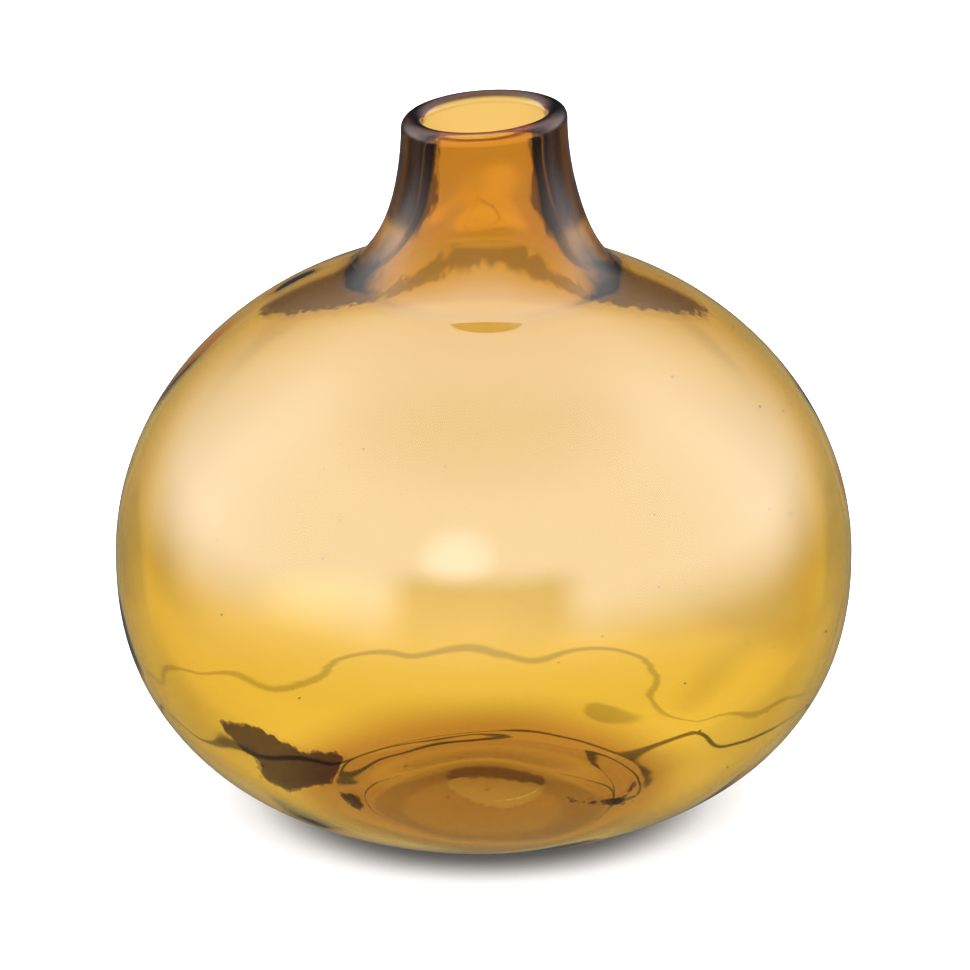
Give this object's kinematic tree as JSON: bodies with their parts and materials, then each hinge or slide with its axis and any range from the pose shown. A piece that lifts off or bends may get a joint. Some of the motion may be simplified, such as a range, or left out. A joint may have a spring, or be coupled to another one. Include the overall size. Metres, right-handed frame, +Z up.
{
  "type": "glass bud vase",
  "caption": "Squat round blown-glass bud vase with a short flared neck, a thick tipped lip and a kicked-up base; holds one or a few stems in water.",
  "frame": {"origin": "on the table, under the middle of the resting ring", "axes": "+Z up along the vessel's axis; +X to the right and +Y away from the viewer, with the higher side of the tipped mouth at +X"},
  "size_m": [0.12, 0.12, 0.1189],
  "materials": {
    "amber_glass": "clear hand-blown glass, fire-polished"
  },
  "bodies": {
    "root": {"lip": "amber_glass", "neck": "amber_glass", "shoulder": "amber_glass", "upper_belly": "amber_glass", "lower_belly": "amber_glass", "heel": "amber_glass", "punt": "amber_glass", "pontil_mark": "amber_glass"}
  },
  "joints": []
}
